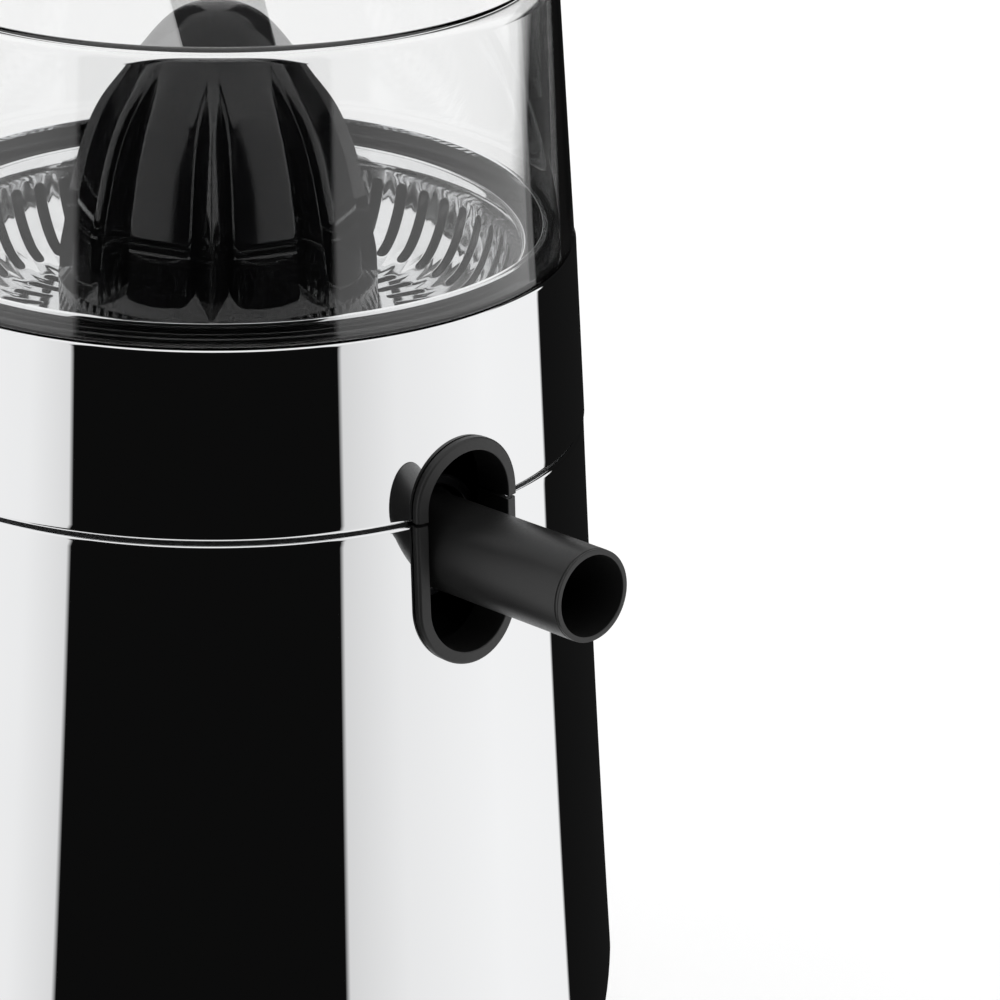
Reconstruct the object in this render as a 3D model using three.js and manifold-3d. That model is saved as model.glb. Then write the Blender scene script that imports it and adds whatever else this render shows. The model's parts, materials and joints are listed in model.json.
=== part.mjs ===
// Electric citrus press juicer: a steel motor base and steel upper housing, a black juice bowl with a
// slotted steel sieve, a pressing cone on a sprung spindle, a tilting juice spout in a split slot, and a
// clear lid. Millimetres, +Z up. The origin is on the drive axis, on the flat underside of the base
// cover, and the spout points along -Y.
import * as THREE from "three";
import { mergeVertices } from "three/addons/utils/BufferGeometryUtils.js";
import Module from "manifold-3d";

const wasm = await Module();
wasm.setup();

// ---------------------------------------------------------------- driving dimensions
const GAP = 0.3; // clearance between neighbouring pieces
const RIM = 211.5; // height of the upper housing's rim
const RIM_R = 84.75; // outer radius of the housing at the rim
const UPPER_H = 44.35; // height of the upper housing
const UPPER_SLOPE = 0.067; // radius gained per millimetre down the upper housing
const SEAM_R = 87.5; // outer radius at the top of the lower housing
const SEAM_DEPTH = 45.3; // depth of the lower housing's top edge below the rim
const FLARE = 0.0593; // lower housing: linear flare per millimetre of depth
const FLARE_CURVE = 0.000074; // lower housing: extra flare per millimetre squared
const TUCK_DEPTH = 187; // depth at which the housing starts to tuck in
const SHELL_BOTTOM = 208.5; // depth of the lower housing's bottom edge
const TUCK = 2.4; // how far the bottom edge tucks in
const SKIN = 1.2; // housing sheet thickness
const ROUND = 40; // facets round each large turned piece

const LID_BASE_R = 84.4;
const LID_TOP_R = 79.5; // lid wall radius where the top corner starts
const LID_H = 66.5;
const LID_CORNER = 4;
const LID_T = 1.7; // lid wall at the top
const LID_BASE_T = 2.8; // lid wall at its foot

const SLOT_DEPTH = 54.4; // depth of the spout slot's centre
const SLOT_W = 12.2; // half width of the clear slot
const SLOT_L = 24; // half height of the clear slot
const TRIM_FACE = 3; // width of the trim's face round the slot
const TRIM_PROUD = 2; // how far the trim stands out of the housing
const TRIM_NECK = 1.5; // wall of the trim inside the housing's cut-out
const TRIM_INNER_R = 79; // radius at which the trim's liner ends inside

const PIVOT_Y = -70; // spout pivot, along X
const PIVOT_DEPTH = 55.3;
const SPOUT_TILT = THREE.MathUtils.degToRad(2.4); // upwards at rest
const SPOUT_R = 10.8;
const SPOUT_BORE = 9.45;
const SPOUT_LENGTH = 59.55; // from the pivot to the mouth
const BALL_R = 12.2; // ball joint at the spout's inner end
const OUTLET_BORE = 12.6; // bowl outlet round the ball
const OUTLET_R = 15.2;
const OUTLET_END = 5.5; // how far the outlet runs past the pivot
const OUTLET_INWARDS = 28; // how far it runs inwards, as a sump under the bowl's floor

const BOWL_T = 2; // bowl wall
const BOWL_FLOOR = -62; // height of the bowl's floor from the rim
const CHIMNEY_R = 14; // tube round the spindle, through the bowl's floor
const COLLAR_R = 78.4; // outer radius of the bowl's collar
const COLLAR_INNER_R = 77.1;
const COLLAR_TOP = 3; // heights of the collar and its ledge from the rim
const COLLAR_LEDGE = -2.2;
const LEDGE_R = 73.5; // inner radius of the ledge

const CONE_BASE = -22.5; // cone heights are measured from the rim
const CONE_SKIRT = -9.5; // the fins end here, in a round skirt
const CONE_TIP = 54.5;
const CONE_FINS = 8;
const FRONT_FIN = THREE.MathUtils.degToRad(-132); // bearing of the fin that shows beside the spout

const SIEVE_SLOTS = 58;
const SIEVE_SHEET = 0.8;
const SIEVE_FLOOR = -26.2; // height of the strainer's floor from the rim
const WALL_SLOT = { inner: 61.8, outer: 71.3, half: 1.6 }; // slots in the strainer's wall
const FLOOR_SLOT = { inner: 46.5, outer: 57, half: 1.3 }; // slots in its floor, between the wall's

const TRAY_R = 70; // gearbox tray
const TRAY_FLOOR = 65;
const TRAY_TOP = 97;
const LEG_R = 62; // radius of the circle of the tray's legs

const OUT_MODULE = 1.25; // second reduction: idler pinion to output gear
const OUT_TEETH = 48;
const IN_MODULE = 1; // first reduction: motor pinion to idler gear
const IN_TEETH = 48;
const PINION_TEETH = 12;
const IDLER_ANGLE = Math.PI / 4; // idler's bearing round the drive axis
const IDLER_DISTANCE = ((OUT_TEETH + PINION_TEETH) * OUT_MODULE) / 2;
const IDLER_X = IDLER_DISTANCE * Math.cos(IDLER_ANGLE);
const IDLER_Y = IDLER_DISTANCE * Math.sin(IDLER_ANGLE);
const MOTOR_ANGLE = THREE.MathUtils.degToRad(165); // motor's bearing round the idler
const MOTOR_DISTANCE = ((IN_TEETH + PINION_TEETH) * IN_MODULE) / 2;
const MOTOR_X = IDLER_X + MOTOR_DISTANCE * Math.cos(MOTOR_ANGLE);
const MOTOR_Y = IDLER_Y + MOTOR_DISTANCE * Math.sin(MOTOR_ANGLE);

const SPINDLE_R = 4;
const SPINDLE_BOTTOM = 75;
const LEVER_PIVOT_Y = -34;
const LEVER_TOP = SPINDLE_BOTTOM - GAP;
const GLAND_Z = 20;

// ---------------------------------------------------------------- solids
// A closed three.js geometry as a manifold-3d solid, turned outside out where its profile ran backwards.
function solid(geometry) {
  const bare = geometry.clone();
  bare.deleteAttribute("normal");
  bare.deleteAttribute("uv");
  const merged = mergeVertices(bare, 1e-4);
  const vertProperties = new Float32Array(merged.attributes.position.array);
  const triVerts = new Uint32Array(merged.index.array);
  const kept = [];
  for (let i = 0; i < triVerts.length; i += 3) {
    const [a, b, c] = [triVerts[i], triVerts[i + 1], triVerts[i + 2]];
    if (a !== b && b !== c && c !== a) kept.push(a, b, c);
  }
  const build = (verts) => new wasm.Manifold(
    new wasm.Mesh({ numProp: 3, vertProperties, triVerts: new Uint32Array(verts) }),
  );
  const made = build(kept);
  if (made.volume() > 0) return made;
  const turned = [];
  for (let i = 0; i < kept.length; i += 3) turned.push(kept[i], kept[i + 2], kept[i + 1]);
  return build(turned);
}

function geometryOf(body) {
  const mesh = body.getMesh();
  const stride = mesh.numProp;
  const positions = new Float32Array(mesh.numVert * 3);
  for (let i = 0; i < mesh.numVert; i++) {
    positions.set(mesh.vertProperties.subarray(i * stride, i * stride + 3), i * 3);
  }
  const geometry = new THREE.BufferGeometry();
  geometry.setAttribute("position", new THREE.BufferAttribute(positions, 3));
  geometry.setIndex(new THREE.BufferAttribute(new Uint32Array(mesh.triVerts), 1));
  geometry.computeVertexNormals();
  return geometry;
}

const join = (first, ...rest) => rest.reduce((sum, next) => sum.add(next), first);
const cut = (first, ...rest) => rest.reduce((left, next) => left.subtract(next), first);

// A profile of [radius, height] points turned round the Z axis.
function turned(profile, segments = ROUND) {
  const points = profile.map(([r, z]) => new THREE.Vector2(r, z));
  return solid(new THREE.LatheGeometry(points, segments).rotateX(Math.PI / 2));
}

// A closed band: the outline and the same outline moved inwards by a thickness.
function band(path, thickness) {
  const inner = path.map(([r, z], i) => {
    const [r0, z0] = path[Math.max(i - 1, 0)];
    const [r1, z1] = path[Math.min(i + 1, path.length - 1)];
    const length = Math.hypot(r1 - r0, z1 - z0);
    return [r - (thickness * (z1 - z0)) / length, z + (thickness * (r1 - r0)) / length];
  });
  return [...path, ...inner.reverse(), path[0]];
}

const ring = (inner, outer, low, high, segments = 20) => turned(
  [[inner, low], [outer, low], [outer, high], [inner, high], [inner, low]],
  segments,
);

function rod(radius, low, high, segments = 16) {
  const geometry = new THREE.CylinderGeometry(radius, radius, high - low, segments);
  return solid(geometry.rotateX(Math.PI / 2).translate(0, 0, (low + high) / 2));
}

const block = (x0, x1, y0, y1, z0, z1) => solid(
  new THREE.BoxGeometry(x1 - x0, y1 - y0, z1 - z0).translate((x0 + x1) / 2, (y0 + y1) / 2, (z0 + z1) / 2),
);

// A shape drawn in X and Z, extruded from the drive axis along -Y.
function frontPrism(shape, reach, segments = 10) {
  const geometry = new THREE.ExtrudeGeometry(shape, {
    depth: reach,
    bevelEnabled: false,
    curveSegments: segments,
  });
  return solid(geometry.rotateX(Math.PI / 2));
}

// An upright rounded slot centred on the spout slot.
function slotShape(halfWidth, halfHeight) {
  const straight = halfHeight - halfWidth;
  const middle = RIM - SLOT_DEPTH;
  const shape = new THREE.Shape();
  shape.absarc(0, middle + straight, halfWidth, 0, Math.PI, false);
  shape.absarc(0, middle - straight, halfWidth, Math.PI, 2 * Math.PI, false);
  shape.closePath();
  return shape;
}

const slotPrism = (grow) => frontPrism(slotShape(SLOT_W + grow, SLOT_L + grow), 110);

// ---------------------------------------------------------------- housing outline
const upperRadius = (depth) => RIM_R + UPPER_SLOPE * depth;

function lowerRadius(depth) {
  const t = Math.min(depth, TUCK_DEPTH) - SEAM_DEPTH;
  const flare = SEAM_R + FLARE * t + FLARE_CURVE * t * t;
  const below = Math.max(depth - TUCK_DEPTH, 0) / (SHELL_BOTTOM - TUCK_DEPTH);
  return flare - TUCK * below ** 2.2;
}

const housingRadius = (depth) => (depth < SEAM_DEPTH ? upperRadius(depth) : lowerRadius(depth));

// The housing's surface moved outwards by `grow`, as a solid of revolution between two depths.
function housingCore(grow, top, bottom, steps = 6) {
  const profile = [[0, RIM - top]];
  for (let i = 0; i <= steps; i++) {
    const depth = top + ((bottom - top) * i) / steps;
    profile.push([housingRadius(depth) + grow, RIM - depth]);
  }
  profile.push([0, RIM - bottom]);
  return turned(profile);
}

// ---------------------------------------------------------------- finishes
const finishes = {
  polished_steel: { color: 0xd8d9db, roughness: 0.06, metalness: 1 },
  sieve_steel: { color: 0xd0d1d3, roughness: 0.18, metalness: 1 },
  satin_black: { color: 0x1c1c1e, roughness: 0.5, metalness: 0 },
  gloss_black: { color: 0x0c0c0d, roughness: 0.15, metalness: 0 },
  clear_plastic: { color: 0xf2f5f6, roughness: 0.05, metalness: 0, transparent: true, opacity: 0.25 },
  rubber: { color: 0x202022, roughness: 0.9, metalness: 0 },
  zinc: { color: 0x9a9da1, roughness: 0.35, metalness: 1 },
  lamination: { color: 0x5c6066, roughness: 0.5, metalness: 1 },
  copper: { color: 0xb5673a, roughness: 0.4, metalness: 1 },
  bronze: { color: 0xa9804a, roughness: 0.45, metalness: 1 },
  nylon: { color: 0xe6e1d2, roughness: 0.45, metalness: 0 },
  frame_plastic: { color: 0x3a3b3d, roughness: 0.6, metalness: 0 },
  switch_red: { color: 0x8c1f1a, roughness: 0.4, metalness: 0 },
};

const juicer = new THREE.Group();

function piece(name, body, finish, parent = juicer) {
  const mesh = new THREE.Mesh(geometryOf(body), new THREE.MeshStandardMaterial(finishes[finish]));
  mesh.name = name;
  parent.add(mesh);
  return mesh;
}

function groupAt(x, y, z = 0, turn = 0) {
  const group = new THREE.Group();
  group.position.set(x, y, z);
  group.rotation.z = turn;
  juicer.add(group);
  return group;
}

// ---------------------------------------------------------------- housings
function lowerShell() {
  const path = [];
  for (const depth of [SEAM_DEPTH, 112, TUCK_DEPTH, 199, SHELL_BOTTOM]) {
    path.push([lowerRadius(depth), RIM - depth]);
  }
  const skin = turned(band(path, -SKIN));
  const glandHole = new THREE.CylinderGeometry(5.5, 5.5, 20, 20).translate(0, 95, GLAND_Z);
  return cut(skin, slotPrism(TRIM_NECK + GAP), solid(glandHole));
}

// The upper housing's rim is folded inwards, to carry the lid and the bowl.
function upperShell() {
  const bottom = RIM - UPPER_H;
  const profile = [
    [80.6, RIM - SKIN],
    [RIM_R - SKIN, RIM - SKIN],
    [upperRadius(UPPER_H) - SKIN, bottom],
    [upperRadius(UPPER_H), bottom],
    [RIM_R + 0.05, RIM - 0.8],
    [RIM_R - 0.5, RIM],
    [80.6, RIM],
    [80.6, RIM - SKIN],
  ];
  return cut(turned(profile), slotPrism(TRIM_NECK + GAP));
}

// The slot's trim: a face that follows the housing and a liner that runs inwards through the cut-out.
function slotTrim(top, bottom) {
  const clear = slotPrism(0);
  const shellOutside = housingCore(GAP, 20, 90);
  const face = slotPrism(TRIM_FACE).intersect(housingCore(TRIM_PROUD, 20, 90)).subtract(shellOutside);
  const core = housingCore(TRIM_PROUD, 20, 90).subtract(rod(TRIM_INNER_R, RIM - 100, RIM, 48));
  const liner = slotPrism(TRIM_NECK).intersect(core);
  const front = block(-40, 40, -120, 0, RIM - bottom, RIM - top);
  return join(face, liner).subtract(clear).intersect(front);
}

const DECK_DEPTH = 84;
const DECK_T = 2.5;

function topDeck() {
  const floor = RIM - DECK_DEPTH;
  const profile = [
    [9.3, floor],
    [85.2, floor],
    [85.2, floor + DECK_T],
    [12.5, floor + DECK_T],
    [12.5, floor + 17],
    [9.3, floor + 17],
    [9.3, floor],
  ];
  let deck = turned(profile);
  for (let i = 0; i < 3; i++) {
    const leg = rod(5, TRAY_TOP + 3 + GAP, floor + 1, 12).translate([56, 0, 0]);
    deck = deck.add(leg.rotate([0, 0, 45 + 120 * i]));
  }
  return deck;
}

// The ring that centres the upper housing on the deck, open behind the slot's trim.
function deckRim() {
  const low = RIM - DECK_DEPTH + DECK_T + GAP;
  return ring(83.2, 85.2, low, RIM - 41, ROUND).subtract(slotPrism(TRIM_NECK + 2 * GAP));
}

function baseCover() {
  const profile = [
    [0, 0],
    [93.6, 0],
    [94.4, 1],
    [94.4, 2.6],
    [92.8, 2.6],
    [92.8, 15],
    [90.6, 15],
    [90.6, 2.6],
    [0, 2.6],
  ];
  let cover = turned(profile, 32);
  const vents = 8;
  for (let i = 0; i < vents; i++) {
    const slot = block(24, 46, -1.6, 1.6, -1, 4);
    cover = cover.subtract(slot.rotate([0, 0, (360 * (i + 0.5)) / vents]));
  }
  for (let i = 0; i < 4; i++) {
    const turn = 45 + 90 * i;
    const screwHole = join(rod(2.1, -1, 4, 16), rod(4, -1, 1.2, 16)).translate([LEG_R, 0, 0]);
    const footHole = rod(3 + GAP, -1, 4, 16).translate([80, 0, 0]);
    cover = cut(cover, screwHole.rotate([0, 0, turn]), footHole.rotate([0, 0, turn]));
  }
  const glandNotch = block(-5, 5, 80, 100, GLAND_Z - 6, GLAND_Z + 5);
  return cover.subtract(glandNotch);
}

piece("lower_shell", lowerShell(), "polished_steel");
piece("upper_shell", upperShell(), "polished_steel");
piece("upper_trim", slotTrim(20, UPPER_H), "satin_black");
piece("lower_trim", slotTrim(SEAM_DEPTH, 90), "satin_black");
piece("top_deck", topDeck(), "frame_plastic");
piece("deck_rim", deckRim(), "frame_plastic");
piece("base_cover", baseCover(), "frame_plastic");

for (let i = 0; i < 4; i++) {
  const corner = groupAt(0, 0, 0, Math.PI / 4 + (Math.PI / 2) * i);
  const foot = piece("foot_" + (i + 1), join(rod(9, -2.5, -GAP, 16), rod(3, -1, 2.2, 12)), "rubber", corner);
  foot.position.x = 80;
  const screwBody = join(rod(3.5, 0.1, 1, 12), rod(1.6, 0.5, 14, 10));
  const screw = piece("base_screw_" + (i + 1), screwBody, "zinc", corner);
  screw.position.x = LEG_R;
}

// The mains cable's gland, in the back of the lower housing.
function cordGland() {
  const profile = [
    [3.6, -7],
    [5.2, -7],
    [5.2, 0.4],
    [8, 0.4],
    [7, 4.5],
    [3.6, 4.5],
    [3.6, -7],
  ];
  return turned(profile, 18).rotate([-90, 0, 0]);
}
const glandY = lowerRadius(RIM - GLAND_Z) + 0.2;
piece("cord_gland", cordGland(), "rubber").position.set(0, glandY, GLAND_Z);

// ---------------------------------------------------------------- bowl, sieve, spout
const PIVOT_Z = RIM - PIVOT_DEPTH;

// A shape turned round the spout's axis: profile points are [radius, distance out from the pivot].
function onSpoutAxis(body, tilt = SPOUT_TILT) {
  return body.rotate([90 - THREE.MathUtils.radToDeg(tilt), 0, 0]).translate([0, PIVOT_Y, PIVOT_Z]);
}

const outletOpening = () => onSpoutAxis(rod(OUTLET_R + GAP, -OUTLET_INWARDS - GAP, 20, 24), 0);

// The bowl's wall, open round the outlet.
function juiceBowl() {
  const profile = [[56, -40], [53, BOWL_FLOOR], [53 + BOWL_T, BOWL_FLOOR], [56 + BOWL_T, -40], [56, -40]];
  return turned(profile, 32).translate([0, 0, RIM]).subtract(outletOpening());
}

// The upper part of the bowl's wall, which widens to the collar.
function bowlFunnel() {
  const foot = -40 + GAP;
  const profile = [[76.2, -8], [56.2, foot], [56.2 + BOWL_T, foot], [76.2 + BOWL_T, -8], [76.2, -8]];
  return turned(profile).translate([0, 0, RIM]);
}

// The bowl's floor, between the chimney and the wall.
function bowlFloor() {
  const top = RIM + BOWL_FLOOR - GAP;
  return ring(CHIMNEY_R + GAP, 53 + BOWL_T, top - BOWL_T, top, 32).subtract(outletOpening());
}

// The bowl's top edge: a flange on the housing's rim, a raised collar and the ledge that carries the sieve.
function bowlCollar() {
  const foot = -8 + GAP;
  const profile = [
    [81.2, 0.3],
    [81.2, 1.6],
    [COLLAR_R, 1.6],
    [COLLAR_R, COLLAR_TOP],
    [COLLAR_INNER_R, COLLAR_TOP],
    [COLLAR_INNER_R, COLLAR_LEDGE],
    [LEDGE_R, COLLAR_LEDGE],
    [LEDGE_R, COLLAR_LEDGE - BOWL_T],
    [76.2, foot],
    [78.2, foot],
    [79, 0.3],
    [81.2, 0.3],
  ];
  return turned(profile).translate([0, 0, RIM]);
}

// The tube that carries the spout's ball, with a sump under the bowl's floor.
function bowlOutlet() {
  const z = (height) => RIM + height;
  const pinHole = solid(
    new THREE.CylinderGeometry(2.8, 2.8, 40, 16).rotateZ(Math.PI / 2).translate(0, PIVOT_Y, PIVOT_Z),
  );
  const tube = onSpoutAxis(rod(OUTLET_R, -OUTLET_INWARDS, OUTLET_END, 24), 0);
  const bore = onSpoutAxis(rod(OUTLET_BORE, 5 - OUTLET_INWARDS, OUTLET_END + 1, 24), 0);
  const hollow = turned([[0, z(-66)], [54, z(-63)], [57, z(-40)], [0, z(-38)]]);
  return cut(tube, hollow, bore, pinHole);
}

// The strainer: a bulged wall and a flat floor, each with a ring of radial slots.
function sieve() {
  const path = [
    [17, -11],
    [18.5, SIEVE_FLOOR],
    [57, SIEVE_FLOOR],
    [61.8, -24.4],
    [66.4, -20.7],
    [70.1, -12.9],
    [71.9, -4],
    [72.3, -1.1],
    [73.9, -1],
  ];
  const sheet = turned(band(path, -SIEVE_SHEET), SIEVE_SLOTS).translate([0, 0, RIM]);
  const slots = [];
  const addSlot = ({ inner, outer, half }, turn) => {
    slots.push(block(inner, outer, -half, half, RIM - 30, RIM + 4).rotate([0, 0, turn]));
  };
  for (let i = 0; i < SIEVE_SLOTS; i++) {
    addSlot(WALL_SLOT, (360 * (i + 0.5)) / SIEVE_SLOTS);
    addSlot(FLOOR_SLOT, (360 * i) / SIEVE_SLOTS);
  }
  return cut(sheet, ...slots);
}

function spout() {
  const back = -7.6;
  const neck = Math.sqrt(BALL_R ** 2 - SPOUT_R ** 2);
  const profile = [[SPOUT_BORE, back]];
  const arcSteps = 4;
  for (let i = 0; i <= arcSteps; i++) {
    const u = back + ((neck - back) * i) / arcSteps;
    profile.push([Math.sqrt(BALL_R ** 2 - u ** 2), u]);
  }
  profile.push(
    [SPOUT_R, SPOUT_LENGTH - 0.5],
    [SPOUT_R - 0.5, SPOUT_LENGTH],
    [SPOUT_BORE, SPOUT_LENGTH],
    [SPOUT_BORE, back],
  );
  const tube = turned(profile, 24);
  const pin = solid(new THREE.CylinderGeometry(2.5, 2.5, 29.6, 16).rotateZ(Math.PI / 2));
  const bore = rod(SPOUT_BORE - 0.2, -20, 20, 28);
  return onSpoutAxis(join(tube, pin.subtract(bore)));
}

piece("juice_bowl", juiceBowl(), "gloss_black");
piece("bowl_funnel", bowlFunnel(), "gloss_black");
piece("bowl_floor", bowlFloor(), "gloss_black");
piece("bowl_collar", bowlCollar(), "gloss_black");
const chimneyFoot = RIM + BOWL_FLOOR - BOWL_T;
piece("bowl_chimney", ring(CHIMNEY_R - BOWL_T, CHIMNEY_R, chimneyFoot, RIM - 2, 24), "gloss_black");
piece("bowl_outlet", bowlOutlet(), "gloss_black");
const hoop = ring(COLLAR_INNER_R, COLLAR_R, RIM + COLLAR_TOP + GAP, RIM + COLLAR_TOP + 1.25, 32);
piece("collar_hoop", hoop, "polished_steel");
const gasket = ring(9.8, OUTLET_BORE - 2 * GAP, -12.4, -10.4, 24);
piece("outlet_gasket", onSpoutAxis(gasket, 0), "rubber");
piece("sieve", sieve(), "sieve_steel");
piece("spout", spout(), "satin_black");

// ---------------------------------------------------------------- lid
function lid() {
  const top = RIM + LID_H;
  const low = RIM + GAP;
  const profile = [];
  const corner = (radius, height, grow) => {
    for (let i = 0; i <= 3; i++) {
      const angle = (Math.PI / 2) * (i / 3);
      profile.push([radius - LID_CORNER + grow * Math.cos(angle), height - LID_CORNER + grow * Math.sin(angle)]);
    }
  };
  profile.push([LID_BASE_R - LID_BASE_T, low], [LID_BASE_R, low]);
  corner(LID_TOP_R, top, LID_CORNER);
  profile.push([0, top], [0, top - LID_T]);
  const inner = profile.length;
  corner(LID_TOP_R, top, LID_CORNER - LID_T);
  profile.push(...profile.splice(inner).reverse());
  profile.push([LID_BASE_R - LID_BASE_T, low]);
  return turned(profile);
}
piece("lid", lid(), "clear_plastic");

// ---------------------------------------------------------------- cone and spindle
const conePoints = [
  [38, CONE_BASE],
  [38, CONE_SKIRT],
  [37.1, -1],
  [34.6, 11.5],
  [30, 26.6],
  [25.4, 34.2],
  [17.8, 43.9],
  [10.5, 50.6],
  [0, CONE_TIP],
];

// Radius of the cone's surface against the smooth dome: a sharp fin at each pitch, a groove on each side
// of it and a rounded lobe between the grooves. The fins fade out towards the tip.
function coneFactor(angle, height) {
  const pitch = (2 * Math.PI) / CONE_FINS;
  const across = Math.abs(((angle / pitch) % 1) + (angle < 0 ? 1 : 0));
  const fromFin = Math.min(across, 1 - across) * 2;
  const fade = THREE.MathUtils.clamp((52 - height) / 30, 0, 1);
  const groove = fromFin < 0.3 ? fromFin / 0.3 : Math.cos(((fromFin - 0.3) / 0.7) * (Math.PI / 2));
  return 1 - 0.1 * fade * groove;
}

function cone() {
  const profile = [new THREE.Vector2(0, CONE_BASE)];
  for (const [radius, height] of conePoints) profile.push(new THREE.Vector2(radius, height));
  const geometry = new THREE.LatheGeometry(profile, CONE_FINS * 8).rotateX(Math.PI / 2);
  const position = geometry.attributes.position;
  for (let i = 0; i < position.count; i++) {
    const height = position.getZ(i);
    const bearing = Math.atan2(position.getY(i), position.getX(i));
    const factor = height > CONE_SKIRT ? coneFactor(bearing, height) : 1;
    position.setX(i, position.getX(i) * factor);
    position.setY(i, position.getY(i) * factor);
  }
  const low = CONE_BASE - 1;
  const hollow = turned([[0, low], [34.5, low], [34.5, -13.5], [29, -7], [22, 25], [0, 25]], 20);
  return solid(geometry).subtract(hollow).translate([0, 0, RIM]);
}

function spindle() {
  return join(
    rod(SPINDLE_R + 0.35, SPINDLE_BOTTOM, 90, 6),
    rod(SPINDLE_R, 89.5, RIM, 20),
    rod(8, 118.8, 121, 24),
    rod(5, RIM - 2, RIM + 20, 6),
  );
}

const press = groupAt(0, 0, 0, FRONT_FIN);
piece("spindle", spindle(), "zinc", press);
piece("cone", cone(), "gloss_black", press);
const hub = cut(ring(1, 8, RIM - 4, RIM + 24.7, 24), rod(5.3, RIM - 5, RIM + 21, 6));
piece("cone_hub", hub, "nylon", press);

// The return spring: a helix with closed ends resting between the gearbox lid and the spindle's collar.
function returnSpring(low, high, radius, turns) {
  const points = [];
  const steps = turns * 6;
  for (let i = 0; i <= steps; i++) {
    const angle = (2 * Math.PI * i) / 6;
    points.push(new THREE.Vector3(
      radius * Math.cos(angle),
      radius * Math.sin(angle),
      low + ((high - low) * i) / steps,
    ));
  }
  const wire = new THREE.Shape();
  wire.absarc(0, 0, 0.7, 0, 2 * Math.PI, false);
  const path = new THREE.CatmullRomCurve3(points);
  return solid(new THREE.ExtrudeGeometry(wire, { steps, extrudePath: path, curveSegments: 3 }));
}
piece("return_spring", returnSpring(102.4, 117.8, 6.6, 4), "zinc");

// ---------------------------------------------------------------- gear train
// Straight-sided teeth, a little thin at the pitch circle so that meshed gears keep some backlash.
function gearShape(teeth, module, bore, boreSides = 16) {
  const pitchR = (teeth * module) / 2;
  const tipR = pitchR + 0.9 * module;
  const rootR = pitchR - 1.15 * module;
  const step = (2 * Math.PI) / teeth;
  const shape = new THREE.Shape();
  const corners = [
    [rootR, -0.34],
    [tipR, -0.12],
    [tipR, 0.12],
    [rootR, 0.34],
  ];
  for (let i = 0; i < teeth; i++) {
    for (const [radius, part] of corners) {
      const angle = step * (i + part);
      const point = [radius * Math.cos(angle), radius * Math.sin(angle)];
      if (i === 0 && part === corners[0][1]) shape.moveTo(...point);
      else shape.lineTo(...point);
    }
  }
  shape.closePath();
  const hole = new THREE.Path();
  for (let i = 0; i <= boreSides; i++) {
    const angle = (-2 * Math.PI * i) / boreSides;
    const point = [bore * Math.cos(angle), bore * Math.sin(angle)];
    if (i === 0) hole.moveTo(...point);
    else hole.lineTo(...point);
  }
  shape.holes.push(hole);
  return shape;
}

function gear(teeth, module, bore, low, high, boreSides) {
  const shape = gearShape(teeth, module, bore, boreSides);
  const geometry = new THREE.ExtrudeGeometry(shape, { depth: high - low, bevelEnabled: false });
  return solid(geometry.translate(0, 0, low));
}

const toothStep = (teeth) => 360 / teeth;
const degrees = THREE.MathUtils.radToDeg;
const HEX_BORE = SPINDLE_R + 0.35 + 0.35;

function outputGear() {
  const wheel = gear(OUT_TEETH, OUT_MODULE, HEX_BORE, 79, 88, 6).rotate([0, 0, degrees(IDLER_ANGLE)]);
  const hexTurn = degrees(FRONT_FIN);
  const boss = cut(rod(9, 76, 92, 24), rod(HEX_BORE, 70, 95, 6).rotate([0, 0, hexTurn]));
  const web = cut(wheel, rod(8, 70, 95, 24));
  return join(web, boss);
}
piece("output_gear", outputGear(), "nylon");

function idlerGear() {
  const towardsOutput = degrees(IDLER_ANGLE) + 180;
  const towardsMotor = degrees(MOTOR_ANGLE);
  const wheel = gear(IN_TEETH, IN_MODULE, 2.8, 69, 77).rotate([0, 0, towardsMotor]);
  const pinion = gear(PINION_TEETH, OUT_MODULE, 2.8, 76.5, 89);
  return join(wheel, pinion.rotate([0, 0, towardsOutput + toothStep(PINION_TEETH) / 2]));
}
const idler = groupAt(IDLER_X, IDLER_Y);
piece("idler_gear", idlerGear(), "nylon", idler);
piece("idler_pin", rod(2.5, TRAY_FLOOR + GAP, TRAY_TOP - 1, 16), "zinc", idler);

function gearboxTray() {
  const floor = TRAY_FLOOR - 3;
  const cup = turned([
    [0, floor],
    [TRAY_R, floor],
    [TRAY_R, TRAY_TOP],
    [TRAY_R - 2.5, TRAY_TOP],
    [TRAY_R - 2.5, TRAY_FLOOR],
    [0, TRAY_FLOOR],
  ], 32);
  let tray = cut(cup, rod(8, 50, 80, 24).translate([MOTOR_X, MOTOR_Y, 0]));
  for (let i = 0; i < 4; i++) {
    const leg = rod(5, 3, floor + 1, 12).subtract(rod(1.9, 0, 20, 8));
    tray = tray.add(leg.translate([LEG_R, 0, 0]).rotate([0, 0, 45 + 90 * i]));
  }
  for (let i = 0; i < 3; i++) {
    const post = rod(3.6, TRAY_FLOOR - 1, TRAY_TOP, 12).subtract(rod(1.5, TRAY_TOP - 14, TRAY_TOP + 1, 8));
    tray = tray.add(post.translate([TRAY_R - 5.5, 0, 0]).rotate([0, 0, 120 * i - 15]));
  }
  return tray;
}
piece("gearbox_tray", gearboxTray(), "frame_plastic");

function gearboxLid() {
  let plate = cut(rod(TRAY_R, TRAY_TOP + GAP, TRAY_TOP + 3, 32), rod(7.3, 90, 110, 24));
  for (let i = 0; i < 3; i++) {
    const hole = rod(1.8, 90, 110, 12).translate([TRAY_R - 5.5, 0, 0]);
    plate = plate.subtract(hole.rotate([0, 0, 120 * i - 15]));
  }
  return plate;
}
piece("gearbox_lid", gearboxLid(), "frame_plastic");
piece("spindle_bush", ring(SPINDLE_R + GAP, 7, TRAY_TOP + GAP - 2, TRAY_TOP + 3.8), "bronze");
piece("spindle_seal", ring(SPINDLE_R + GAP, 9, RIM - 74, RIM - 68), "rubber");

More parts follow.
